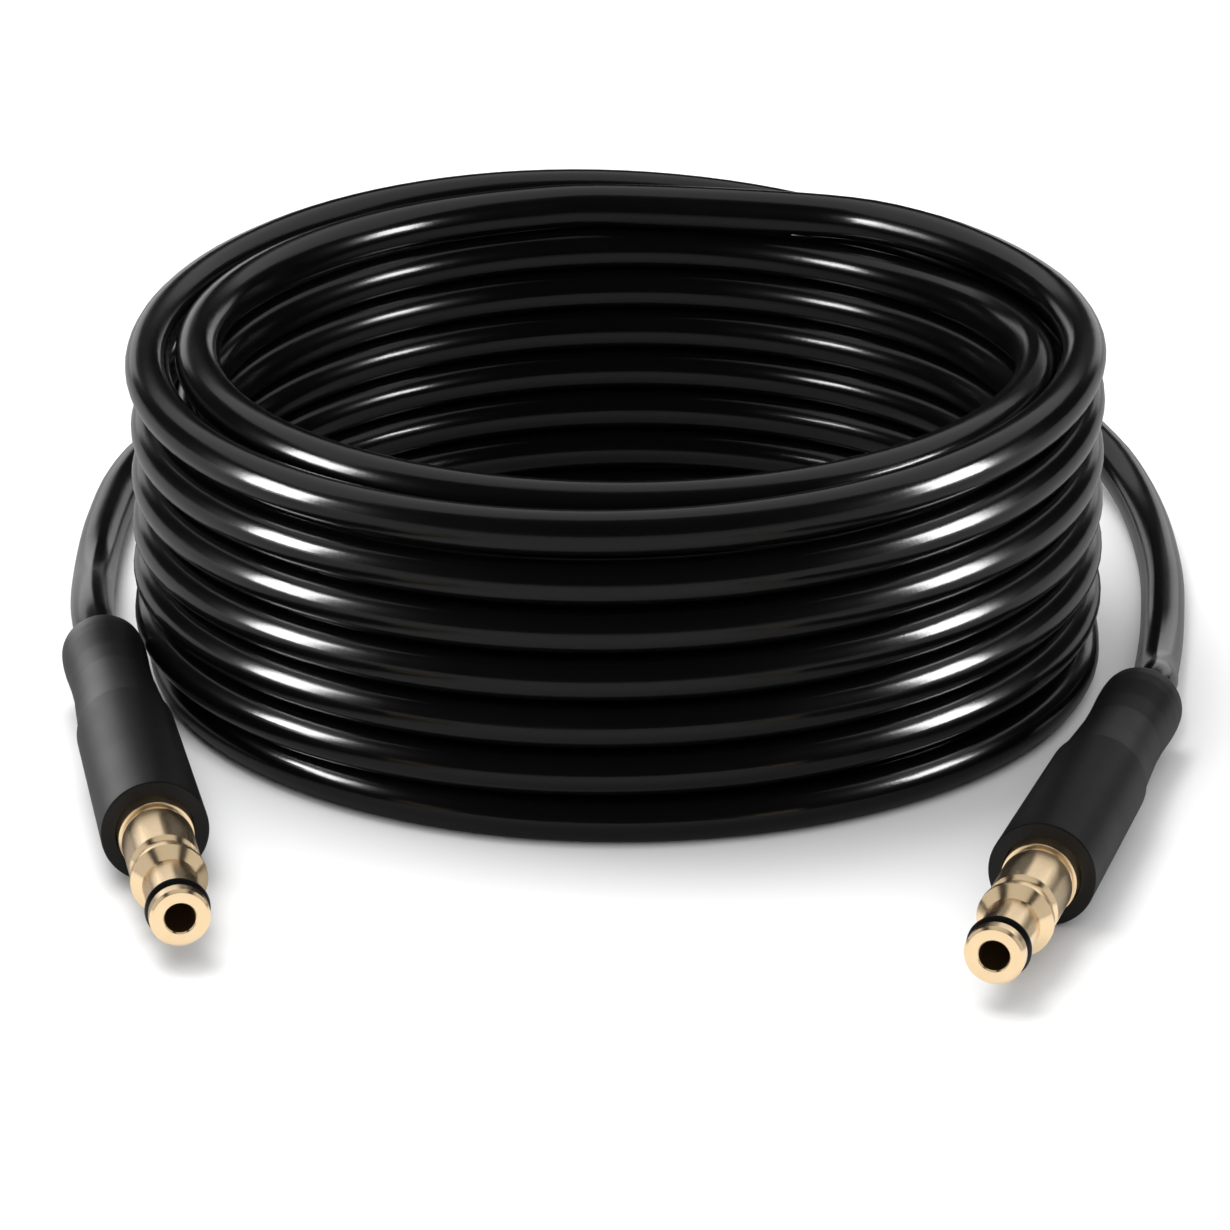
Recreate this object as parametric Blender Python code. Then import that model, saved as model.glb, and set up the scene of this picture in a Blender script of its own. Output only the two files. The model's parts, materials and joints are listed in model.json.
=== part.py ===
"""Coiled pressure washer hose, lying on a level floor.

Over nine metres of black hose, wound into two columns of turns, one inside the other,
with a brass quick-connect nipple in a rubber sleeve at each end. Metres, +Z up,
Z = 0 on the floor. Places and routes are measured from the coil's own axis, which
stands at COIL_AXIS, so that the middle of the whole object's box is the origin.
"""

import math

import bmesh
import bpy
from mathutils import Vector

# Hose and coil
HOSE_DIAMETER = 0.0100
COIL_AXIS = (-0.0025, 0.0136)
OUTER_COLUMN_RADIUS = 0.1043
COLUMN_GAP = 0.0002
OUTER_TURNS = 7
INNER_TURNS = 8
OUTER_TOP_TURN_HEIGHT = 0.0738
INNER_TOP_TURN_HEIGHT = 0.0772
COIL_FACETS = 56
NOTCH_ANGLE = 60.0
BASE_ANGLE = 70.0

# Rubber sleeve, measured along its axis from its rear end
SLEEVE_LENGTH = 0.102
SLEEVE_REAR_FACE_RADIUS = 0.0070
SLEEVE_BULGE_RADIUS = 0.0094
SLEEVE_BULGE_AT = 0.008
SLEEVE_WAIST_RADIUS = 0.0091
SLEEVE_WAIST_AT = 0.026
SLEEVE_SHOULDER_RADIUS = 0.0100
SLEEVE_SHOULDER_AT = 0.0405
SLEEVE_STEP_RADIUS = 0.0109
SLEEVE_STEP_AT = 0.0482
SLEEVE_FRONT_RADIUS = 0.0117
SLEEVE_EDGE = 0.0006
MOUTH_DEPTH = 0.012
REAR_ROUNDING_ANGLES = (0, 25, 50, 72)

# Brass nipple, measured along its axis from the sleeve's front face
NIPPLE_REACH = 0.0448
NIPPLE_BORE_RADIUS = 0.0033
RIM_RADIUS = 0.0082
RIM_END = 0.0030
RELIEF_RADIUS = 0.0074
BARREL_RADIUS = 0.0078
BARREL_START = 0.0052
BARREL_END = 0.0190
GROOVE_RADIUS = 0.0070
GROOVE_START = 0.0202
GROOVE_END = 0.0232
RIDGE_RADIUS = 0.0083
RIDGE_START = 0.0240
RIDGE_END = 0.0252
NECK_RADIUS = 0.0060
NECK_START = 0.0278
HEAD_RADIUS = 0.0065
HEAD_CHAMFER = 0.0006
SEAL_CENTRE = 0.0399
SEAL_SECTION_RADIUS = 0.0014
SEAL_OUTER_RADIUS = 0.0070

# Gap between pieces that touch in the real hose, and facets of the round pieces
CLEARANCE = 0.0003
ROUND_FACETS = 28
SEAL_SECTION_FACETS = 10
TUBE_QUARTER_CUTS = 3
OPEN_ARC_POINTS = 4
BOTTOM_ARC_POINTS = 5
TOP_ARC_POINTS = 6
INNER_FOOT_POINTS = 2
SHARP_EDGE_ANGLE = 35.0

# Each end: how far the middle of the sleeve's front face lies inside the coil's side,
# how far it lies in front of the coil's axis, and its heading from -Y towards +X. The
# left hose holds the rear of its sleeve up, so that sleeve's nose points down a little.
LEFT_INBOARD = 0.0106
LEFT_FORWARD = 0.1263
LEFT_HEADING = 9.5
LEFT_NOSE_TILT = -0.6
RIGHT_INBOARD = 0.0198
RIGHT_FORWARD = 0.1489
RIGHT_HEADING = -15.4

# Each free stretch from its sleeve towards the coil, chosen by hand, and the angle
# round the coil, from the front towards +X, where it comes up against the turns
LEFT_ROUTE = (
    (-0.1188, -0.0020, 0.0119),
    (-0.1197, 0.0130, 0.0099),
    (-0.1203, 0.0290, 0.0071),
    (-0.1205, 0.0450, 0.0053),
    (-0.1202, 0.0590, 0.0050),
    (-0.1194, 0.0720, 0.0050),
    (-0.1170, 0.0940, 0.0050),
    (-0.1112, 0.1160, 0.0050),
    (-0.0985, 0.1370, 0.0050),
    (-0.0760, 0.1545, 0.0050),
    (-0.0460, 0.1615, 0.0050),
    (-0.0140, 0.1575, 0.0050),
    (0.0180, 0.1450, 0.0050),
    (0.0480, 0.1190, 0.0050),
)
LEFT_JOIN_ANGLE = 139.0
LEFT_JOIN_HEIGHT = 0.0050
RIGHT_ROUTE = (
    (0.1204, -0.0290, 0.0074),
    (0.1230, -0.0050, 0.0053),
    (0.1245, 0.0140, 0.0050),
    (0.1255, 0.0340, 0.0050),
    (0.1252, 0.0540, 0.0051),
    (0.1238, 0.0720, 0.0058),
    (0.1209, 0.0890, 0.0072),
    (0.1160, 0.1050, 0.0092),
    (0.1070, 0.1220, 0.0115),
    (0.0900, 0.1390, 0.0138),
    (0.0660, 0.1520, 0.0152),
    (0.0360, 0.1580, 0.0157),
    (0.0040, 0.1530, 0.0157),
    (-0.0260, 0.1395, 0.0157),
    (-0.0510, 0.1170, 0.0156),
)
RIGHT_JOIN_ANGLE = -139.0
RIGHT_JOIN_HEIGHT = 0.0155
TAIL_POINT_SPACING = 2.0 * HOSE_DIAMETER
TAIL_LEAD = 1.2 * HOSE_DIAMETER
STEPS_BETWEEN_ROUTE_POINTS = 20

# Sizes that follow from the ones above
HOSE_RADIUS = HOSE_DIAMETER / 2
INNER_COLUMN_RADIUS = OUTER_COLUMN_RADIUS - HOSE_DIAMETER - COLUMN_GAP
JOIN_RADIUS = OUTER_COLUMN_RADIUS + HOSE_DIAMETER + CLEARANCE
MOUTH_RADIUS = RIM_RADIUS + CLEARANCE
SEAL_RING_RADIUS = SEAL_OUTER_RADIUS - SEAL_SECTION_RADIUS
GLAND_RADIUS = SEAL_RING_RADIUS - SEAL_SECTION_RADIUS - CLEARANCE
GLAND_START = SEAL_CENTRE - SEAL_SECTION_RADIUS - CLEARANCE
GLAND_END = SEAL_CENTRE + SEAL_SECTION_RADIUS + CLEARANCE
COIL_SIDE_RADIUS = OUTER_COLUMN_RADIUS + HOSE_RADIUS
LEFT_FACE = (LEFT_INBOARD - COIL_SIDE_RADIUS, -LEFT_FORWARD)
RIGHT_FACE = (COIL_SIDE_RADIUS - RIGHT_INBOARD, -RIGHT_FORWARD)
FRONT_CONE_LENGTH = SLEEVE_LENGTH - SLEEVE_EDGE - SLEEVE_STEP_AT
RIGHT_NOSE_TILT = math.degrees(math.atan((SLEEVE_FRONT_RADIUS - SLEEVE_STEP_RADIUS) / FRONT_CONE_LENGTH))


def clear_scene():
    for obj in list(bpy.data.objects):
        bpy.data.objects.remove(obj, do_unlink=True)


def material(name, colour, roughness, metallic=0.0):
    """A plain Principled material."""
    mat = bpy.data.materials.new(name)
    mat.use_nodes = True
    shader = mat.node_tree.nodes["Principled BSDF"]
    shader.inputs["Base Color"].default_value = (*colour, 1.0)
    shader.inputs["Roughness"].default_value = roughness
    shader.inputs["Metallic"].default_value = metallic
    return mat


def turned(name, profile, facets, mat):
    """A solid turned about its local Z axis from (radius, height) points.

    The profile closes on itself, or starts and ends on the axis.
    """
    bm = bmesh.new()
    verts = [bm.verts.new((radius, 0.0, height)) for radius, height in profile]
    following = verts[1:] + verts[:1] if profile[0][0] > 0 else verts[1:]
    edges = [bm.edges.new(pair) for pair in zip(verts, following)]
    bmesh.ops.spin(
        bm,
        geom=verts + edges,
        axis=(0.0, 0.0, 1.0),
        angle=math.tau,
        steps=facets,
        use_merge=True,
    )
    bmesh.ops.remove_doubles(bm, verts=bm.verts[:], dist=1e-6)
    bmesh.ops.recalc_face_normals(bm, faces=bm.faces[:])
    mesh = bpy.data.meshes.new(name)
    bm.to_mesh(mesh)
    bm.free()
    mesh.shade_smooth()
    mesh.set_sharp_from_angle(angle=math.radians(SHARP_EDGE_ANGLE))
    mesh.materials.append(mat)
    obj = bpy.data.objects.new(name, mesh)
    bpy.context.collection.objects.link(obj)
    return obj


def arc(centre, start, end, count):
    """Points on a turn's own circle in the section, in degrees from straight outwards."""
    angles = [math.radians(start + (end - start) * step / (count - 1)) for step in range(count)]
    return [(centre[0] + HOSE_RADIUS * math.cos(a), centre[1] + HOSE_RADIUS * math.sin(a)) for a in angles]


def column(radius, turns, top):
    """Section centres of a column's turns, from the floor up."""
    rise = (top - HOSE_RADIUS) / (turns - 1)
    return [(radius, HOSE_RADIUS + rise * turn) for turn in range(turns)]


def coil_profile():
    """Section through both columns, where each turn shows as a round."""
    outer = column(OUTER_COLUMN_RADIUS, OUTER_TURNS, OUTER_TOP_TURN_HEIGHT)
    inner = column(INNER_COLUMN_RADIUS, INNER_TURNS, INNER_TOP_TURN_HEIGHT)
    points = arc(outer[0], -BASE_ANGLE, NOTCH_ANGLE, BOTTOM_ARC_POINTS)
    for centre in outer[1:-1]:
        points += arc(centre, -NOTCH_ANGLE, NOTCH_ANGLE, OPEN_ARC_POINTS)
    points += arc(outer[-1], -NOTCH_ANGLE, 180 - NOTCH_ANGLE, TOP_ARC_POINTS)
    points += arc(inner[-1], NOTCH_ANGLE, 180 + NOTCH_ANGLE, TOP_ARC_POINTS)
    for centre in reversed(inner[1:-1]):
        points += arc(centre, 180 - NOTCH_ANGLE, 180 + NOTCH_ANGLE, OPEN_ARC_POINTS)
    points += arc(inner[0], 180 - NOTCH_ANGLE, 180 + BASE_ANGLE, BOTTOM_ARC_POINTS)
    points += arc(inner[0], -BASE_ANGLE, -NOTCH_ANGLE / 2, INNER_FOOT_POINTS)
    points += arc(outer[0], 180 + NOTCH_ANGLE / 2, 180 + BASE_ANGLE, INNER_FOOT_POINTS)
    lowest = min(height for radius, height in points)
    return [(radius, 0.0 if height - lowest < 1e-6 else height) for radius, height in points]


def sleeve_profile():
    """Moulded sleeve: rounded rear, waist, step, and a straight front with its mouth."""
    bulge = SLEEVE_BULGE_RADIUS
    rounding = bulge - SLEEVE_REAR_FACE_RADIUS
    rear = []
    for turn in REAR_ROUNDING_ANGLES:
        angle = math.radians(turn)
        rear.append((SLEEVE_REAR_FACE_RADIUS + rounding * math.sin(angle), rounding * (1 - math.cos(angle))))
    mouth_floor = SLEEVE_LENGTH - MOUTH_DEPTH
    return [
        (0.0, 0.0),
        *rear,
        (bulge, SLEEVE_BULGE_AT),
        (SLEEVE_WAIST_RADIUS, SLEEVE_WAIST_AT),
        (SLEEVE_SHOULDER_RADIUS, SLEEVE_SHOULDER_AT),
        (SLEEVE_STEP_RADIUS, SLEEVE_STEP_AT),
        (SLEEVE_FRONT_RADIUS, SLEEVE_LENGTH - SLEEVE_EDGE),
        (SLEEVE_FRONT_RADIUS - SLEEVE_EDGE, SLEEVE_LENGTH),
        (MOUTH_RADIUS, SLEEVE_LENGTH),
        (MOUTH_RADIUS, mouth_floor),
        (0.0, mouth_floor),
    ]


def nipple_profile():
    """Turned nipple with a rim, barrel, groove, ridge, neck, seal gland and bored head."""
    rear = CLEARANCE - MOUTH_DEPTH
    return [
        (NIPPLE_BORE_RADIUS, rear),
        (RIM_RADIUS, rear),
        (RIM_RADIUS, RIM_END),
        (RELIEF_RADIUS, RIM_END),
        (RELIEF_RADIUS, BARREL_START),
        (BARREL_RADIUS, BARREL_START),
        (BARREL_RADIUS, BARREL_END),
        (GROOVE_RADIUS, GROOVE_START),
        (GROOVE_RADIUS, GROOVE_END),
        (RIDGE_RADIUS, RIDGE_START),
        (RIDGE_RADIUS, RIDGE_END),
        (NECK_RADIUS, NECK_START),
        (NECK_RADIUS, GLAND_START),
        (GLAND_RADIUS, GLAND_START),
        (GLAND_RADIUS, GLAND_END),
        (HEAD_RADIUS, GLAND_END),
        (HEAD_RADIUS, NIPPLE_REACH - HEAD_CHAMFER),
        (HEAD_RADIUS - HEAD_CHAMFER, NIPPLE_REACH),
        (NIPPLE_BORE_RADIUS, NIPPLE_REACH),
    ]


def seal_profile():
    """Round section of the rubber ring in the nipple's gland."""
    points = []
    for step in range(SEAL_SECTION_FACETS):
        angle = math.tau * step / SEAL_SECTION_FACETS
        radius = SEAL_RING_RADIUS + SEAL_SECTION_RADIUS * math.cos(angle)
        points.append((radius, SEAL_CENTRE + SEAL_SECTION_RADIUS * math.sin(angle)))
    return points


def from_coil_axis(x, y, z):
    """World place of a point that is measured from the coil's axis."""
    return Vector((COIL_AXIS[0] + x, COIL_AXIS[1] + y, z))


def fitting(side, face, heading, nose_tilt, rubber, brass, seal_rubber):
    """Sleeve, nipple and seal of one end, carried by an empty at the sleeve's face.

    The sleeve's front edge rests on the floor. With its nose up by the right tilt, it
    rests on its step as well.
    """
    tilt = math.radians(nose_tilt)
    face_height = SLEEVE_FRONT_RADIUS * math.cos(tilt) + SLEEVE_EDGE * math.sin(tilt)
    mount = bpy.data.objects.new("fitting_" + side, None)
    mount.location = from_coil_axis(*face, face_height)
    mount.rotation_euler = (math.pi / 2 - tilt, 0.0, math.radians(heading))
    bpy.context.collection.objects.link(mount)
    sleeve = turned("sleeve_" + side, sleeve_profile(), ROUND_FACETS, rubber)
    sleeve.location.z = -SLEEVE_LENGTH
    nipple = turned("nipple_" + side, nipple_profile(), ROUND_FACETS, brass)
    seal = turned("o_ring_" + side, seal_profile(), ROUND_FACETS, seal_rubber)
    for piece in (sleeve, nipple, seal):
        piece.parent = mount
    bpy.context.view_layer.update()
    return mount


def smooth_points(knots):
    """Closely spaced points on a smooth curve through the knots."""
    ends = [2 * knots[0] - knots[1], *knots, 2 * knots[-1] - knots[-2]]
    points = []
    for before, a, b, after in zip(ends, ends[1:], ends[2:], ends[3:]):
        for step in range(STEPS_BETWEEN_ROUTE_POINTS):
            t = step / STEPS_BETWEEN_ROUTE_POINTS
            bend = 2 * before - 5 * a + 4 * b - after
            twist = 3 * (a - b) + after - before
            points.append(a + 0.5 * t * (b - before + t * (bend + t * twist)))
    return [*points, knots[-1]]


def evenly_spaced(points, spacing):
    """Points at an even distance along a line of many points."""
    lengths = [0.0]
    for a, b in zip(points, points[1:]):
        lengths.append(lengths[-1] + (b - a).length)
    count = round(lengths[-1] / spacing)
    places = []
    index = 0
    for step in range(count + 1):
        target = lengths[-1] * step / count
        while index < len(points) - 2 and lengths[index + 1] < target:
            index += 1
        share = (target - lengths[index]) / (lengths[index + 1] - lengths[index])
        places.append(points[index].lerp(points[index + 1], share))
    return places


def tail(side, mount, route, join_angle, join_height, mat):
    """Tube of the free stretch, from the sleeve's rear end to the side of the coil."""
    backwards = mount.matrix_world.to_3x3() @ Vector((0.0, 0.0, -1.0))
    face = mount.matrix_world.translation
    angle = math.radians(join_angle)
    join = from_coil_axis(JOIN_RADIUS * math.sin(angle), -JOIN_RADIUS * math.cos(angle), join_height)
    start = face + backwards * (SLEEVE_LENGTH + CLEARANCE)
    lead = face + backwards * (SLEEVE_LENGTH + TAIL_LEAD)
    knots = [lead, *(from_coil_axis(*point) for point in route), join]
    points = [start, *evenly_spaced(smooth_points(knots), TAIL_POINT_SPACING)]
    curve = bpy.data.curves.new("hose_tail_" + side, "CURVE")
    curve.dimensions = "3D"
    curve.bevel_depth = HOSE_RADIUS
    curve.bevel_resolution = TUBE_QUARTER_CUTS
    curve.use_fill_caps = True
    spline = curve.splines.new("POLY")
    spline.points.add(len(points) - 1)
    for place, point in zip(spline.points, points):
        place.co = (*point, 1.0)
    curve.materials.append(mat)
    obj = bpy.data.objects.new("hose_tail_" + side, curve)
    bpy.context.collection.objects.link(obj)
    return obj


def build():
    clear_scene()
    hose = material("hose_pvc", (0.016, 0.016, 0.017), 0.25)
    rubber = material("sleeve_rubber", (0.035, 0.035, 0.036), 0.7)
    brass = material("nipple_brass", (0.83, 0.66, 0.40), 0.25, 1.0)
    seal_rubber = material("seal_rubber", (0.02, 0.02, 0.02), 0.5)
    coil = turned("hose_coil", coil_profile(), COIL_FACETS, hose)
    coil.location = from_coil_axis(0.0, 0.0, 0.0)
    left = fitting("left", LEFT_FACE, LEFT_HEADING, LEFT_NOSE_TILT, rubber, brass, seal_rubber)
    right = fitting("right", RIGHT_FACE, RIGHT_HEADING, RIGHT_NOSE_TILT, rubber, brass, seal_rubber)
    tail("left", left, LEFT_ROUTE, LEFT_JOIN_ANGLE, LEFT_JOIN_HEIGHT, hose)
    tail("right", right, RIGHT_ROUTE, RIGHT_JOIN_ANGLE, RIGHT_JOIN_HEIGHT, hose)


build()
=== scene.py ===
"""Looks of a coiled pressure washer hose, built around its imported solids.

One length of black hose leaves the left sleeve, lies round the back of the coil, winds
into the bottom turn, climbs the inner column, crosses over at the top, comes down the
outer column and runs back out to the right sleeve. A turned brass nipple with its seal
stands in the mouth of each sleeve. Everything is in metres, in the frame of the solids.
"""

import json
import math

import bpy
from mathutils import Euler, Matrix, Vector


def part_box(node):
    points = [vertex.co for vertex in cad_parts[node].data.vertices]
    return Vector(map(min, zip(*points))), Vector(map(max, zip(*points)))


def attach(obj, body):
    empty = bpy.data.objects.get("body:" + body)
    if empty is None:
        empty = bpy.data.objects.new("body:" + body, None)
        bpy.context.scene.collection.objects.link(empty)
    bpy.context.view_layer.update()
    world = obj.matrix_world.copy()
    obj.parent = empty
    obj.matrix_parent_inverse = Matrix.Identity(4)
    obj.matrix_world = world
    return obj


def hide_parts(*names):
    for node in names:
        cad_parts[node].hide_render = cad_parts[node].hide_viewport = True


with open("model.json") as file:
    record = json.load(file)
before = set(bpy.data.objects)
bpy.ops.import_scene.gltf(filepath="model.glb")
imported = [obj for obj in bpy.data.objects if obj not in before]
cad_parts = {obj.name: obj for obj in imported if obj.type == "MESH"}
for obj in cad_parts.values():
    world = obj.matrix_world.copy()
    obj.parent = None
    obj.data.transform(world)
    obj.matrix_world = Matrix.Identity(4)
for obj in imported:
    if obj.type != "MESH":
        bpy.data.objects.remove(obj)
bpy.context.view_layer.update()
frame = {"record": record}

# Hose and coil. Angles go round the coil's axis, from the front towards +X, and fall
# along the hose, which is wound clockwise seen from above.
HOSE_DIAMETER = 0.0100
COIL_AXIS = (-0.0025, 0.0136)
OUTER_COLUMN_RADIUS = 0.1043
COLUMN_GAP = 0.0002
INNER_COLUMN_RADIUS = OUTER_COLUMN_RADIUS - HOSE_DIAMETER - COLUMN_GAP
FLOOR_HEIGHT = HOSE_DIAMETER / 2
WINDING_STEP = 15.0

# Bottom turn, which comes in from outside and closes to the inner column: angle, radius
BOTTOM_TURN = (
    (139.0, 0.1146),
    (90.0, 0.1043),
    (0.0, 0.1040),
    (-90.0, 0.1011),
    (-150.0, 0.0982),
    (-180.0, INNER_COLUMN_RADIUS),
)

# Inner column: seven turns, the first of them climbing over the bottom turn's end
INNER_TURNS = 7
INNER_PITCH = 0.01003
FIRST_TURN_EXTRA = 0.0002
LAST_TURN_LIFT = 0.0076
LAST_TURN_LIFTED = 0.9
LAST_TURN_EASED_IN = 0.25

# Crossing at the top, over the back right of the coil: angle after the inner column,
# radius, height
CROSSING = (
    (30.0, 0.0950, 0.0771),
    (45.0, 0.0975, 0.0780),
    (60.0, 0.1005, 0.0775),
    (75.0, 0.1030, 0.0768),
)
CROSSING_SWEEP = 90.0

# Outer column, from the crossing down to where the hose leaves it
OUTER_SWEEP = 2029.0
OUTER_TOP = 0.0742
OUTER_PITCH = 0.0111
LEAVING_SWEEP = 44.0
LEAVING_RADIUS = 0.1146
LEAVING_CURVE = 1.3
LEAVING_RISE = 0.0011
RESTING_HEIGHT = 0.0144
RESTING_SOFTNESS = 0.0008

# Where the outer turns stand above an even descent, and where they bulge out: sweep,
# distance, and half width in degrees
OUTER_RISES = (
    (0.0, 0.0017, 60.0),
    (255.0, 0.0095, 80.0),
    (615.0, 0.0065, 50.0),
    (975.0, 0.0038, 50.0),
    (1335.0, 0.0016, 50.0),
    (1630.0, 0.0007, 70.0),
)
OUTER_BULGES = ((180.0, 0.0010, 60.0), (265.0, 0.0007, 40.0))

# Free stretches, as their solids lie, measured from the coil's axis
LEFT_ROUTE = (
    (-0.1188, -0.0020, 0.0119),
    (-0.1197, 0.0130, 0.0099),
    (-0.1203, 0.0290, 0.0071),
    (-0.1205, 0.0450, 0.0053),
    (-0.1202, 0.0590, 0.0050),
    (-0.1194, 0.0720, 0.0050),
    (-0.1170, 0.0940, 0.0050),
    (-0.1112, 0.1160, 0.0050),
    (-0.0985, 0.1370, 0.0050),
    (-0.0760, 0.1545, 0.0050),
    (-0.0460, 0.1615, 0.0050),
    (-0.0140, 0.1575, 0.0050),
    (0.0180, 0.1450, 0.0050),
    (0.0480, 0.1190, 0.0050),
)
RIGHT_ROUTE = (
    (0.1204, -0.0290, 0.0074),
    (0.1230, -0.0050, 0.0053),
    (0.1245, 0.0140, 0.0050),
    (0.1255, 0.0340, 0.0050),
    (0.1252, 0.0540, 0.0051),
    (0.1238, 0.0720, 0.0058),
    (0.1209, 0.0890, 0.0072),
    (0.1160, 0.1050, 0.0092),
    (0.1070, 0.1220, 0.0115),
    (0.0900, 0.1390, 0.0138),
    (0.0660, 0.1520, 0.0152),
    (0.0360, 0.1580, 0.0157),
    (0.0040, 0.1530, 0.0157),
    (-0.0260, 0.1395, 0.0157),
    (-0.0510, 0.1170, 0.0156),
)
TAIL_LEAD = 0.012
HOSE_HELD = 0.014
HOSE_SIDES = 24
HOSE_DRIFT_PER_METRE = 0.35
LINE_SPACING = 0.006
KNOT_STEPS = 10

# Rubber sleeve, along its axis from its rear end
SLEEVE_LENGTH = 0.102
SLEEVE_FRONT_RADIUS = 0.0117
MOUTH_DEPTH = 0.012
MOUTH_RADIUS = 0.0085
SLEEVE_GRIP_GAP = 0.0001
HOSE_END_GAP = 0.001

# Brass nipple, along its axis from the sleeve's front face
NIPPLE_REACH = 0.0448
SEAL_CENTRE = 0.0399
SEAL_SECTION_RADIUS = 0.0014
SEAL_OUTER_RADIUS = 0.0070
CLEARANCE = 0.0003

# Camera, found from the photograph's own perspective, measured from the coil's axis
CAMERA_PLACE = (-0.000575, -1.852441, 0.764244)
CAMERA_ELEVATION = 22.147
CAMERA_LENS = 258.2
CAMERA_SENSOR = 36.0

# Panels of light that show only in reflections: name, place, target, size, power and the
# group of pieces that sees them, measured from the coil's axis. The first list is for
# the right side, and is repeated on the left.
SIDE_PANELS = (
    ("side_panel", (0.408, -0.125, 0.13), (0.0, -0.10, 0.05), (0.13, 0.21), 3.0, "hosework"),
    ("back_panel", (0.55, 1.3, 0.2), (0.0, 0.0, 0.05), (0.7, 0.4), 0.9, None),
    ("brass_panel", (0.8, -0.2, 0.35), (0.0, -0.15, 0.0), (1.6, 0.7), 2.6, "metalwork"),
)
MIDDLE_PANELS = (
    ("brass_overhead", (0.0, -0.15, 1.0), (0.0, -0.1, 0.0), (1.0, 1.6), 3.6, "metalwork"),
    ("brass_floor", (0.0, -0.6, 0.0004), (0.0, -0.6, 1.0), (1.4, 0.9), 3.0, "metalwork"),
    ("brass_back", (0.0, 1.3, 0.5), (0.0, 0.0, 0.0), (2.6, 1.2), 10.5, "metalwork"),
    ("brass_front", (0.0, -2.3, 1.0), (0.0, 0.0, 0.0), (2.6, 1.4), 6.5, "metalwork"),
    ("rubber_panel", (-0.85, 1.1, 0.15), (-0.1, 0.0, 0.0), (0.9, 0.7), 4.2, "rubberwork"),
    ("hose_ceiling", (0.0, 0.9, 1.2), (0.0, 0.9, 0.0), (3.0, 2.2), 17.0, "hosework"),
)
FLOOR_SIDE = 6.0

# Turned pieces: facets round the axis, steps in each rounding, the spindle that the
# profile is turned on, and the largest rounding that counts as a crisp corner
TURNED_FACETS = 72
SEAL_FACETS = 64
SEAL_SECTION_POINTS = 20
ROUNDING_STEPS = 4
SPINDLE_RADIUS = 0.001
CRISP_ROUNDING = 0.0006
HOLD_DISTANCE = 0.00006


def linear(hex_colour):
    """Linear RGBA of an sRGB hex colour such as "c9a36a"."""
    channels = [int(hex_colour[place:place + 2], 16) / 255 for place in (0, 2, 4)]
    bright = [c / 12.92 if c <= 0.04045 else ((c + 0.055) / 1.055) ** 2.4 for c in channels]
    return (*bright, 1.0)


def add(tree, kind, links=None, **settings):
    """Adds a node to a tree, sets its own settings, and gives its inputs a value or a link."""
    made = tree.nodes.new(kind)
    for name, value in settings.items():
        setattr(made, name, value)
    for name, value in (links or {}).items():
        if isinstance(value, bpy.types.NodeSocket):
            tree.links.new(value, made.inputs[name])
        else:
            made.inputs[name].default_value = value
    return made


def from_coil_axis(x, y, z):
    return Vector((COIL_AXIS[0] + x, COIL_AXIS[1] + y, z))


# The hose's line

def eased(share):
    return share * share * (3 - 2 * share)


def hump(sweep, middle, rise, width):
    return rise * math.exp(-(((sweep - middle) / width) ** 2))


def on_stations(stations, angle):
    """Value at an angle between two stations of a falling list, eased at both."""
    for (start, first), (end, second) in zip(stations, stations[1:]):
        if angle >= end:
            return first + (second - first) * eased((start - angle) / (start - end))
    return stations[-1][1]


def bottom_turn():
    """Line of the turn on the floor, from outside the coil to the inner column's start."""
    start, end = BOTTOM_TURN[0][0], BOTTOM_TURN[-1][0]
    count = round((start - end) / WINDING_STEP)
    angles = [start + (end - start) * step / count for step in range(count + 1)]
    return [(angle, on_stations(BOTTOM_TURN, angle), FLOOR_HEIGHT) for angle in angles]


def inner_column():
    """Line of the climbing turns. The last one stands a little proud of the stack."""
    start = BOTTOM_TURN[-1][0]
    places = []
    for step in range(1, round(INNER_TURNS * 360 / WINDING_STEP) + 1):
        turns = step * WINDING_STEP / 360
        height = FLOOR_HEIGHT + INNER_PITCH * turns + FIRST_TURN_EXTRA * min(turns, 1.0)
        left = INNER_TURNS - turns
        if left < LAST_TURN_LIFTED:
            share = min((LAST_TURN_LIFTED - left) / LAST_TURN_EASED_IN, 1.0)
            height += LAST_TURN_LIFT * eased(share) * left
        places.append((start - turns * 360, INNER_COLUMN_RADIUS, height))
    return places


def outer_place(sweep):
    """Radius and height of the descending turns, after a sweep from the crossing's end."""
    height = OUTER_TOP - OUTER_PITCH * sweep / 360 + sum(hump(sweep, *rise) for rise in OUTER_RISES)
    radius = OUTER_COLUMN_RADIUS + sum(hump(sweep, *bulge) for bulge in OUTER_BULGES)
    if sweep > OUTER_SWEEP - 360:
        above = (height - RESTING_HEIGHT) / RESTING_SOFTNESS
        height = RESTING_HEIGHT + RESTING_SOFTNESS * math.log1p(math.exp(above))
    leaving = (sweep - OUTER_SWEEP + LEAVING_SWEEP) / LEAVING_SWEEP
    if leaving > 0:
        radius += (LEAVING_RADIUS - OUTER_COLUMN_RADIUS) * leaving ** LEAVING_CURVE
        height += LEAVING_RISE * leaving ** 2
    return radius, height


def outer_column():
    start = BOTTOM_TURN[-1][0] - INNER_TURNS * 360 - CROSSING_SWEEP
    count = round(OUTER_SWEEP / WINDING_STEP)
    sweeps = [OUTER_SWEEP * step / count for step in range(count + 1)]
    return [(start - sweep, *outer_place(sweep)) for sweep in sweeps]


def crossing():
    start = BOTTOM_TURN[-1][0] - INNER_TURNS * 360
    return [(start - sweep, radius, height) for sweep, radius, height in CROSSING]


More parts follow.
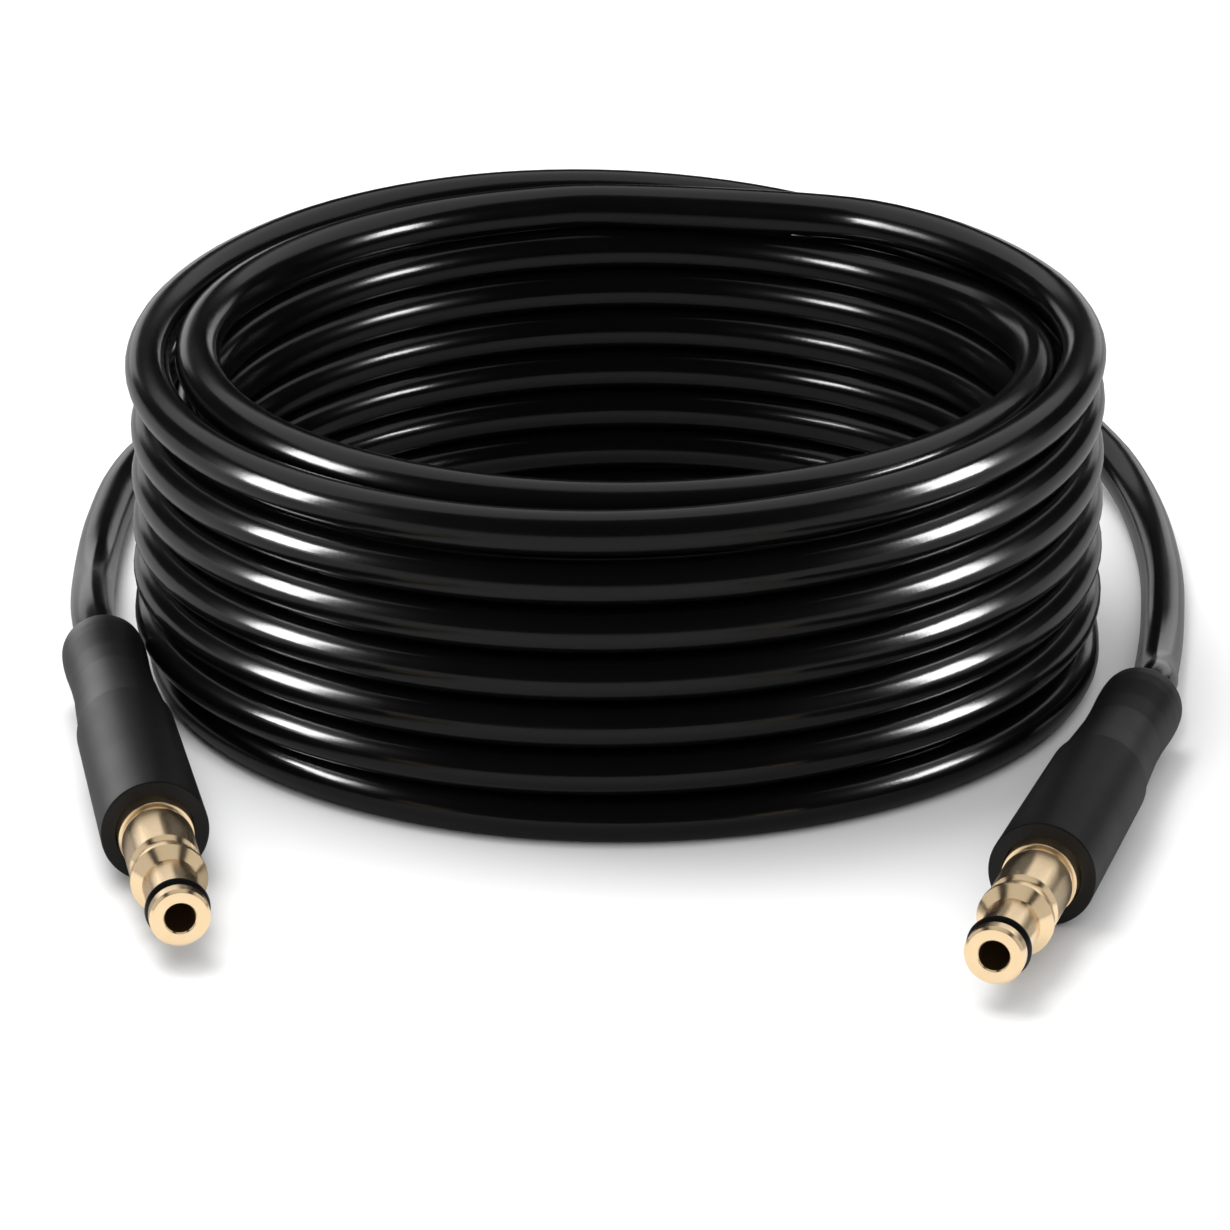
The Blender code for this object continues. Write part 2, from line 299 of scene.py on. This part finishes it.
def smooth_line(knots):
    """Close points on a smooth curve through the knots."""
    ends = [2 * knots[0] - knots[1], *knots, 2 * knots[-1] - knots[-2]]
    line = []
    for before, a, b, after in zip(ends, ends[1:], ends[2:], ends[3:]):
        for step in range(KNOT_STEPS):
            t = step / KNOT_STEPS
            bend = 2 * before - 5 * a + 4 * b - after
            twist = 3 * (a - b) + after - before
            line.append(a + 0.5 * t * (b - before + t * (bend + t * twist)))
    return [*line, knots[-1]]


def line_length(points):
    return sum((b - a).length for a, b in zip(points, points[1:]))


def evenly_spaced(points, spacing):
    """Points at an even distance along a line of many points."""
    count = round(line_length(points) / spacing)
    pitch = line_length(points) / count
    places = [points[0]]
    gone = 0.0
    for a, b in zip(points, points[1:]):
        run = (b - a).length
        while gone + run >= pitch * len(places) and len(places) < count:
            places.append(a.lerp(b, (pitch * len(places) - gone) / run))
        gone += run
    return [*places, points[-1]]


def hose_line(left, right):
    """The whole hose, from inside the left sleeve's rear end to inside the right one's."""
    winding = [*bottom_turn(), *inner_column(), *crossing(), *outer_column()]
    held = (HOSE_HELD - SLEEVE_LENGTH, -SLEEVE_LENGTH, -SLEEVE_LENGTH - TAIL_LEAD)
    knots = [left @ Vector((0, 0, height)) for height in held]
    knots += [from_coil_axis(*point) for point in LEFT_ROUTE]
    for angle, radius, height in winding:
        turned = math.radians(angle)
        knots.append(from_coil_axis(radius * math.sin(turned), -radius * math.cos(turned), height))
    knots += [from_coil_axis(*point) for point in reversed(RIGHT_ROUTE)]
    knots += [right @ Vector((0, 0, height)) for height in reversed(held)]
    line = smooth_line(knots)
    return evenly_spaced(line, LINE_SPACING)


# Geometry Nodes trees

def new_tree(name, inputs):
    """An empty Geometry Nodes tree with named inputs: name, socket type and default."""
    tree = bpy.data.node_groups.new(name, "GeometryNodeTree")
    tree.interface.new_socket(name="Geometry", in_out="INPUT", socket_type="NodeSocketGeometry")
    for label, kind, value in inputs:
        socket = tree.interface.new_socket(name=label, in_out="INPUT", socket_type="NodeSocket" + kind)
        if value is not None:
            socket.default_value = value
    tree.interface.new_socket(name="Geometry", in_out="OUTPUT", socket_type="NodeSocketGeometry")
    return tree


def close_tree(tree, geometry, material):
    """Realized geometry with its material, as the tree's output."""
    real = add(tree, "GeometryNodeRealizeInstances", {"Geometry": geometry})
    clad = add(tree, "GeometryNodeSetMaterial", {"Geometry": real.outputs[0], "Material": material})
    add(tree, "NodeGroupOutput", {"Geometry": clad.outputs[0]})


def sweep_tree():
    """Sweeps a round section along a line, and keeps each point's place on the hose.

    The place is the cosine and sine of the angle round the section, and the metres
    along the line. The section keeps its angle to the level, with a slow drift.
    """
    tree = new_tree("hose_sweep", [
        ("Diameter", "Float", 0.01),
        ("Sides", "Int", 24),
        ("Drift per metre", "Float", 0.0),
        ("Material", "Material", None),
    ])
    sizes = add(tree, "NodeGroupInput").outputs
    along = add(tree, "GeometryNodeSplineParameter").outputs["Length"]
    level = add(tree, "GeometryNodeSetCurveNormal", {"Curve": sizes["Geometry"]}, mode="Z_UP")
    drift = add(tree, "ShaderNodeMath", {0: along, 1: sizes["Drift per metre"]}, operation="MULTIPLY")
    tilted = add(tree, "GeometryNodeSetCurveTilt", {"Curve": level.outputs[0], "Tilt": drift.outputs[0]})
    marked = add(tree, "GeometryNodeStoreNamedAttribute",
                 {"Geometry": tilted.outputs[0], "Name": "along", "Value": along})
    radius = add(tree, "ShaderNodeMath", {0: sizes["Diameter"], 1: 0.5}, operation="MULTIPLY")
    section = add(tree, "GeometryNodeCurvePrimitiveCircle",
                  {"Resolution": sizes["Sides"], "Radius": radius.outputs[0]})
    place = add(tree, "GeometryNodeInputPosition").outputs[0]
    unit = add(tree, "ShaderNodeVectorMath", {0: place}, operation="NORMALIZE")
    faced = add(tree, "GeometryNodeStoreNamedAttribute",
                {"Geometry": section.outputs[0], "Name": "facing", "Value": unit.outputs[0]},
                data_type="FLOAT_VECTOR")
    tube = add(tree, "GeometryNodeCurveToMesh",
               {"Curve": marked.outputs[0], "Profile Curve": faced.outputs[0], "Fill Caps": True})
    close_tree(tree, tube.outputs[0], sizes["Material"])
    return tree


def turning_tree():
    """Rounds a profile's corners and turns it about the axis, as a lathe or mould does.

    The profile lies in its own plane, x from the axis and y along it. Each corner's
    rounding is the radius of its curve point. The turned place of each point is kept,
    because the piece is set in its real place afterwards.
    """
    tree = new_tree("turning", [
        ("Facets", "Int", 64),
        ("Rounding steps", "Int", 4),
        ("Spindle radius", "Float", 0.001),
        ("Material", "Material", None),
    ])
    sizes = add(tree, "NodeGroupInput").outputs
    rounding = add(tree, "GeometryNodeInputRadius").outputs[0]
    soft = add(tree, "GeometryNodeFilletCurve",
               {"Curve": sizes["Geometry"], "Count": sizes["Rounding steps"], "Radius": rounding,
                "Limit Radius": True}, mode="POLY")
    inward = add(tree, "ShaderNodeMath", {0: sizes["Spindle radius"], 1: -1.0}, operation="MULTIPLY")
    shift = add(tree, "ShaderNodeCombineXYZ", {"X": inward.outputs[0]})
    set_out = add(tree, "GeometryNodeTransform",
                  {"Geometry": soft.outputs[0], "Translation": shift.outputs[0],
                   "Rotation": (math.pi, 0.0, 0.0)})
    spindle = add(tree, "GeometryNodeCurvePrimitiveCircle",
                  {"Resolution": sizes["Facets"], "Radius": sizes["Spindle radius"]})
    turned = add(tree, "GeometryNodeCurveToMesh",
                 {"Curve": spindle.outputs[0], "Profile Curve": set_out.outputs[0]})
    place = add(tree, "GeometryNodeInputPosition").outputs[0]
    kept = add(tree, "GeometryNodeStoreNamedAttribute",
               {"Geometry": turned.outputs[0], "Name": "turned_place", "Value": place},
               data_type="FLOAT_VECTOR")
    close_tree(tree, kept.outputs[0], sizes["Material"])
    return tree


def poly_curve(name, points, radii=None, cyclic=False):
    curve = bpy.data.curves.new(name, "CURVE")
    curve.dimensions = "3D"
    spline = curve.splines.new("POLY")
    spline.points.add(len(points) - 1)
    spline.use_cyclic_u = cyclic
    for index, point in enumerate(points):
        spline.points[index].co = (*point, 1.0)
        spline.points[index].radius = radii[index] if radii else 1.0
    obj = bpy.data.objects.new(name, curve)
    bpy.context.collection.objects.link(obj)
    return obj


def mark_turning(mesh, place):
    """Keeps each point's direction round the piece's axis, along which tool rings run."""
    around = mesh.attributes.new("around", "FLOAT_VECTOR", "POINT")
    turn = place.to_3x3()
    for vertex, mark in zip(mesh.vertices, around.data):
        mark.vector = (turn @ Vector((-vertex.co.y, vertex.co.x, 0.0))).normalized()


def made_by(tree, name, line, sizes, place=None):
    """Plain mesh piece that a tree makes from a line, set in its place."""
    modifier = line.modifiers.new(tree.name, "NODES")
    modifier.node_group = tree
    for socket in tree.interface.items_tree:
        if socket.in_out == "INPUT" and socket.name in sizes:
            modifier[socket.identifier] = sizes[socket.name]
    evaluated = line.evaluated_get(bpy.context.evaluated_depsgraph_get())
    mesh = bpy.data.meshes.new_from_object(evaluated)
    bpy.data.objects.remove(line, do_unlink=True)
    mesh.name = name
    if place is not None:
        mark_turning(mesh, place)
        mesh.transform(place)
    mesh.shade_smooth()
    piece = bpy.data.objects.new(name, mesh)
    bpy.context.collection.objects.link(piece)
    return piece


# Profiles of the turned pieces: radius, height, rounding

def rounding_reach(before, here, after, rounding):
    """How far along each side of a corner its rounding reaches."""
    turn = (here - before).angle(after - here)
    return rounding * math.tan(turn / 2)


def held_straight(corners):
    """Adds a plain point beside each crisp end of a straight, so that it shades straight."""
    places = [Vector((radius, height)) for radius, height, rounding in corners]
    count = len(corners)
    reaches = []
    for index, (radius, height, rounding) in enumerate(corners):
        after = places[(index + 1) % count]
        reaches.append(rounding_reach(places[index - 1], places[index], after, rounding))
    points = []
    for index, (radius, height, rounding) in enumerate(corners):
        following = (index + 1) % count
        straight = places[following] - places[index]
        points.append((radius, height, rounding))
        near = reaches[index] + HOLD_DISTANCE
        far = straight.length - reaches[following] - HOLD_DISTANCE
        if far - near > HOLD_DISTANCE:
            for end, distance in ((index, near), (following, far)):
                if corners[end][2] <= CRISP_ROUNDING:
                    points.append((*(places[index] + straight.normalized() * distance), 0.0))
    return points


def turned_piece(name, corners, facets, material, place):
    points = held_straight(corners)
    line = poly_curve(name + "_profile", [(r, h, 0.0) for r, h, rounding in points],
                      [rounding for r, h, rounding in points], cyclic=True)
    sizes = {"Facets": facets, "Rounding steps": ROUNDING_STEPS, "Spindle radius": SPINDLE_RADIUS,
             "Material": material}
    return made_by(TURNING, name, line, sizes, place)


def sleeve_corners():
    """Moulded sleeve, with the hose's socket at the rear and the nipple's mouth in front.

    Heights are from the front face, so the rear end is at minus the sleeve's length.
    """
    rear = -SLEEVE_LENGTH
    pocket = HOSE_DIAMETER / 2 + SLEEVE_GRIP_GAP
    pocket_end = rear + HOSE_HELD + HOSE_END_GAP
    passage = 0.0030
    body = [
        (0.0056, 0.0000, 0.0004),
        (0.0079, 0.0004, 0.0012),
        (0.0092, 0.0026, 0.0022),
        (0.0094, 0.0060, 0.0030),
        (0.0094, 0.0100, 0.0080),
        (0.0091, 0.0180, 0.0100),
        (0.0091, 0.0260, 0.0120),
        (0.0098, 0.0385, 0.0060),
        (0.0104, 0.0474, 0.0004),
        (0.0109, 0.0479, 0.0003),
        (0.0110, 0.0540, 0.0030),
    ]
    return [
        (pocket, rear + 0.0006, 0.0003),
        *((radius, rear + height, rounding) for radius, height, rounding in body),
        (SLEEVE_FRONT_RADIUS, 0.0, 0.0003),
        (MOUTH_RADIUS, 0.0, 0.0003),
        (MOUTH_RADIUS, -MOUTH_DEPTH, 0.0003),
        (passage, -MOUTH_DEPTH, 0.0003),
        (passage, pocket_end, 0.0003),
        (pocket, pocket_end, 0.0003),
    ]


def nipple_corners():
    """Nipple with its rim, barrel, groove, ridge, neck, seal gland, head and bore."""
    bore = 0.0033
    gland = SEAL_OUTER_RADIUS - 2 * SEAL_SECTION_RADIUS - CLEARANCE
    gland_start = SEAL_CENTRE - SEAL_SECTION_RADIUS - CLEARANCE
    gland_end = SEAL_CENTRE + SEAL_SECTION_RADIUS + CLEARANCE
    rear = CLEARANCE - MOUTH_DEPTH
    return [
        (bore, rear, 0.0),
        (0.0082, rear, 0.0003),
        (0.0082, 0.0030, 0.00015),
        (0.0071, 0.0032, 0.0002),
        (0.0071, 0.0050, 0.0002),
        (0.0078, 0.0053, 0.00015),
        (0.0078, 0.0190, 0.0002),
        (0.0070, 0.0200, 0.0006),
        (0.0070, 0.0233, 0.0003),
        (0.0083, 0.0240, 0.0002),
        (0.0083, 0.0252, 0.0002),
        (0.0060, 0.0278, 0.0003),
        (0.0060, gland_start, 0.0002),
        (gland, gland_start, 0.0001),
        (gland, gland_end, 0.0001),
        (0.0065, gland_end, 0.0002),
        (0.0065, NIPPLE_REACH - 0.0006, 0.0002),
        (0.0059, NIPPLE_REACH, 0.0002),
        (bore + 0.0003, NIPPLE_REACH, 0.0001),
        (bore, NIPPLE_REACH - 0.0003, 0.0001),
    ]


def seal_corners():
    ring = SEAL_OUTER_RADIUS - SEAL_SECTION_RADIUS
    corners = []
    for step in range(SEAL_SECTION_POINTS):
        turn = math.tau * step / SEAL_SECTION_POINTS
        out, up = SEAL_SECTION_RADIUS * math.cos(turn), SEAL_SECTION_RADIUS * math.sin(turn)
        corners.append((ring + out, SEAL_CENTRE + up, 0.0))
    return corners


# Materials

def new_material(name):
    """A material with a Principled shader, its tree and the shader."""
    mat = bpy.data.materials.new(name)
    mat.use_nodes = True
    return mat, mat.node_tree, mat.node_tree.nodes["Principled BSDF"]


def noise(tree, coords, scale, detail):
    links = {"Vector": coords, "Scale": scale, "Detail": detail}
    return add(tree, "ShaderNodeTexNoise", links).outputs["Fac"]


def spread(tree, value, low, high, **ends):
    """Maps a value, or its part between two ends, to a range."""
    links = {"Value": value, "To Min": low, "To Max": high}
    links.update({name.replace("_", " ").title(): end for name, end in ends.items()})
    return add(tree, "ShaderNodeMapRange", links).outputs[0]


def tinted(tree, value, dark, light):
    links = {0: value, 6: linear(dark), 7: linear(light)}
    return add(tree, "ShaderNodeMix", links, data_type="RGBA").outputs[2]


def raised(tree, height, strength, distance, under=None):
    """Bump from a height, on top of another bump if one is given."""
    links = {"Height": height, "Strength": strength, "Distance": distance}
    if under is not None:
        links["Normal"] = under
    return add(tree, "ShaderNodeBump", links).outputs[0]


def dress(tree, shader, tone, rough, normal):
    tree.links.new(tone, shader.inputs["Base Color"])
    tree.links.new(rough, shader.inputs["Roughness"])
    tree.links.new(normal, shader.inputs["Normal"])


def extruded_pvc():
    """Extruded soft PVC hose cover, calendered smooth: a deep black with a clear, soft
    edged gloss, faint draw lines along it and a fine grain that breaks the highlights."""
    mat, tree, shader = new_material("extruded_pvc")
    shader.inputs["IOR"].default_value = 1.43
    facing = add(tree, "ShaderNodeAttribute", attribute_name="facing").outputs["Vector"]
    along = add(tree, "ShaderNodeAttribute", attribute_name="along").outputs["Fac"]
    across = add(tree, "ShaderNodeSeparateXYZ", {0: facing}).outputs
    slow = add(tree, "ShaderNodeMath", {0: along, 1: 2.0}, operation="MULTIPLY").outputs[0]
    drawn_place = add(tree, "ShaderNodeCombineXYZ", {"X": across["X"], "Y": across["Y"], "Z": slow})
    # Draw lines about 0.8 mm apart on a 5 mm radius
    drawn = noise(tree, drawn_place.outputs[0], 6.0, 3.0)
    coords = add(tree, "ShaderNodeTexCoord").outputs["Object"]
    # Grain of 0.7 mm, drawn coarser than the real 0.1 mm so that it shows
    grain = noise(tree, coords, 1400.0, 2.0)
    cloudy = noise(tree, coords, 45.0, 4.0)
    rough = spread(tree, cloudy, 0.15, 0.21, from_min=0.3, from_max=0.7)
    lines = raised(tree, drawn, 0.25, 0.0001)
    fine = raised(tree, grain, 0.25, 0.00004, lines)
    dress(tree, shader, tinted(tree, drawn, "050505", "0a0a0a"), rough, fine)
    return mat


def moulded_rubber():
    """Compression moulded rubber: matte, near black, with a fine even grain."""
    mat, tree, shader = new_material("moulded_rubber")
    coords = add(tree, "ShaderNodeTexCoord").outputs["Object"]
    grain = noise(tree, coords, 1600.0, 3.0)
    bloom = noise(tree, coords, 90.0, 5.0)
    tone = tinted(tree, bloom, "0d0d0d", "151515")
    dress(tree, shader, tone, spread(tree, bloom, 0.40, 0.52), raised(tree, grain, 0.35, 0.00008))
    return mat


def turned_brass():
    """Brass turned on a lathe and left bright: pale gold, with fine tool rings."""
    mat, tree, shader = new_material("turned_brass")
    shader.inputs["Metallic"].default_value = 1.0
    shader.inputs["Anisotropic"].default_value = 0.5
    shader.inputs["Anisotropic Rotation"].default_value = 0.25
    around = add(tree, "ShaderNodeAttribute", attribute_name="around").outputs["Vector"]
    tree.links.new(around, shader.inputs["Tangent"])
    place = add(tree, "ShaderNodeAttribute", attribute_name="turned_place").outputs["Vector"]
    parts = add(tree, "ShaderNodeSeparateXYZ", {0: place}).outputs
    flat = add(tree, "ShaderNodeCombineXYZ", {"X": parts["X"], "Y": parts["Y"]})
    reach = add(tree, "ShaderNodeVectorMath", {0: flat.outputs[0]}, operation="LENGTH")
    rings_place = add(tree, "ShaderNodeCombineXYZ", {"X": reach.outputs["Value"], "Y": parts["Z"]})
    # Tool rings 0.25 mm apart, a little coarser than the real feed so that they show
    rings = noise(tree, rings_place.outputs[0], 4000.0, 2.0)
    stain = noise(tree, place, 180.0, 4.0)
    tone = tinted(tree, stain, "e0c398", "ead2ae")
    dress(tree, shader, tone, spread(tree, rings, 0.19, 0.28), raised(tree, rings, 0.2, 0.00003))
    return mat


def nitrile():
    """Moulded nitrile rubber seal, lightly greased: black with a satin gloss."""
    mat, tree, shader = new_material("nitrile_rubber")
    coords = add(tree, "ShaderNodeTexCoord").outputs["Object"]
    film = noise(tree, coords, 600.0, 2.0)
    shader.inputs["Base Color"].default_value = linear("0d0d0d")
    tree.links.new(spread(tree, film, 0.28, 0.45), shader.inputs["Roughness"])
    tree.links.new(raised(tree, film, 0.1, 0.00005), shader.inputs["Normal"])
    return mat


# Pieces

def middle(node):
    low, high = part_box(node)
    return (low + high) / 2


def fitting_place(side):
    """Where a sleeve's front face stands: its axis from the record, its centre from the seal."""
    mounts = {mount["name"]: mount for mount in frame["record"]["mounts"]}
    axis = Vector(mounts["nipple_tip_" + side]["axis"]).normalized()
    centre = middle("o_ring_" + side) - axis * SEAL_CENTRE
    turn = axis.to_track_quat("Z", "X").to_matrix().to_4x4()
    return Matrix.Translation(centre) @ turn


def finish_piece(piece, nodes):
    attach(piece, "root")
    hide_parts(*nodes)
    return piece


def make_fitting(side, place):
    sleeve = turned_piece("sleeve_moulding_" + side, sleeve_corners(), TURNED_FACETS, RUBBER, place)
    nipple = turned_piece("brass_nipple_" + side, nipple_corners(), TURNED_FACETS, BRASS, place)
    seal = turned_piece("seal_ring_" + side, seal_corners(), SEAL_FACETS, NITRILE, place)
    finish_piece(sleeve, ["sleeve_" + side])
    finish_piece(nipple, ["nipple_" + side])
    finish_piece(seal, ["o_ring_" + side])
    WORK["metalwork"].objects.link(nipple)
    WORK["rubberwork"].objects.link(sleeve)
    return [sleeve, nipple, seal]


def make_hose(left, right):
    line = hose_line(left, right)
    sizes = {"Diameter": HOSE_DIAMETER, "Sides": HOSE_SIDES,
             "Drift per metre": HOSE_DRIFT_PER_METRE, "Material": PVC}
    hose = made_by(sweep_tree(), "hose", poly_curve("hose_line", line), sizes)
    finish_piece(hose, ["hose_coil", "hose_tail_left", "hose_tail_right"])
    WORK["hosework"].objects.link(hose)
    return hose


# Studio

def first_look_only(light):
    """Lets a panel show in a glossy piece, without the piece throwing its light about."""
    light.use_nodes = True
    tree = light.node_tree
    depth = add(tree, "ShaderNodeLightPath").outputs["Diffuse Depth"]
    first = add(tree, "ShaderNodeMath", {0: depth, 1: 0.5}, operation="LESS_THAN")
    tree.links.new(first.outputs[0], tree.nodes["Emission"].inputs["Strength"])


def soft_panel(name, place, target, size, power):
    """A rectangle of soft light that the camera doesn't see."""
    data = bpy.data.lights.new(name, "AREA")
    data.shape = "RECTANGLE"
    data.size, data.size_y = size
    data.energy = power
    light = bpy.data.objects.new(name, data)
    light.location = from_coil_axis(*place)
    light.rotation_euler = (Vector(target) - Vector(place)).to_track_quat("-Z", "Y").to_euler()
    light.visible_camera = False
    bpy.context.collection.objects.link(light)
    return light


def reflected_panel(name, place, target, size, power, work):
    """A panel that shows only in reflections, flagged off from all but one group of pieces.

    The metal is lit past the pieces round it, so that it stays bright on every side.
    """
    light = soft_panel(name, place, target, size, power)
    light.visible_diffuse = False
    first_look_only(light.data)
    if work is not None:
        light.light_linking.receiver_collection = WORK[work]
    if work == "metalwork":
        light.light_linking.blocker_collection = WORK[work]


def white_board():
    """Matte white board of the floor. Reflections see it at under half its brightness,
    as if the board ended in a darker room."""
    mat, tree, shader = new_material("matte_white_board")
    shader.inputs["Roughness"].default_value = 0.9
    shader.inputs["Specular IOR Level"].default_value = 0.0
    ray = add(tree, "ShaderNodeLightPath").outputs
    tones = {0: ray["Is Glossy Ray"], 6: (0.9, 0.9, 0.9, 1), 7: (0.35, 0.35, 0.35, 1)}
    tone = add(tree, "ShaderNodeMix", tones, data_type="RGBA")
    tree.links.new(tone.outputs[2], shader.inputs["Base Color"])
    return mat


def make_floor():
    mesh = bpy.data.meshes.new("floor")
    side = FLOOR_SIDE
    corners = [(-side, -side, 0), (side, -side, 0), (side, side, 0), (-side, side, 0)]
    mesh.from_pydata(corners, [], [(0, 1, 2, 3)])
    floor = bpy.data.objects.new("floor", mesh)
    bpy.context.collection.objects.link(floor)
    mesh.materials.append(white_board())


def make_lights():
    """A key light from above and behind, and panels for the streaks of gloss."""
    for name, (x, y, z), target, size, power, work in SIDE_PANELS:
        reflected_panel(name + "_left", (-x, y, z), target, size, power, work)
        reflected_panel(name + "_right", (x, y, z), target, size, power, work)
    for panel in MIDDLE_PANELS:
        reflected_panel(*panel)
    key = soft_panel("key", (-0.45, 0.35, 1.5), (0.0, 0.0, 0.0), (1.0, 1.0), 18.0)
    key.visible_glossy = False


def make_world():
    """Even white light from all round, which the gloss sees as a dark room."""
    world = bpy.data.worlds.new("studio")
    world.use_nodes = True
    tree = world.node_tree
    tree.nodes.clear()
    ray = add(tree, "ShaderNodeLightPath").outputs
    dark, soft, seen = (
        add(tree, "ShaderNodeBackground", {"Color": (1, 1, 1, 1), "Strength": strength}).outputs[0]
        for strength in (0.01, 1.0, 1.0)
    )
    lit = add(tree, "ShaderNodeMixShader", {0: ray["Is Diffuse Ray"], 1: dark, 2: soft})
    mix = add(tree, "ShaderNodeMixShader", {0: ray["Is Camera Ray"], 1: lit.outputs[0], 2: seen})
    add(tree, "ShaderNodeOutputWorld", {"Surface": mix.outputs[0]})
    bpy.context.scene.world = world
    bpy.context.scene.view_settings.view_transform = "Standard"


def make_camera():
    data = bpy.data.cameras.new("camera")
    data.sensor_width = CAMERA_SENSOR
    data.lens = CAMERA_LENS
    camera = bpy.data.objects.new("camera", data)
    camera.location = from_coil_axis(*CAMERA_PLACE)
    camera.rotation_euler = Euler((math.radians(90 - CAMERA_ELEVATION), 0.0, 0.0))
    bpy.context.collection.objects.link(camera)
    bpy.context.scene.camera = camera


WORK = {name: bpy.data.collections.new(name) for name in ("metalwork", "rubberwork", "hosework")}
make_camera()
make_floor()
make_lights()
make_world()
PVC = extruded_pvc()
RUBBER = moulded_rubber()
BRASS = turned_brass()
NITRILE = nitrile()
TURNING = turning_tree()
left_place = fitting_place("left")
right_place = fitting_place("right")
fittings = [*make_fitting("left", left_place), *make_fitting("right", right_place)]
make_hose(left_place, right_place)
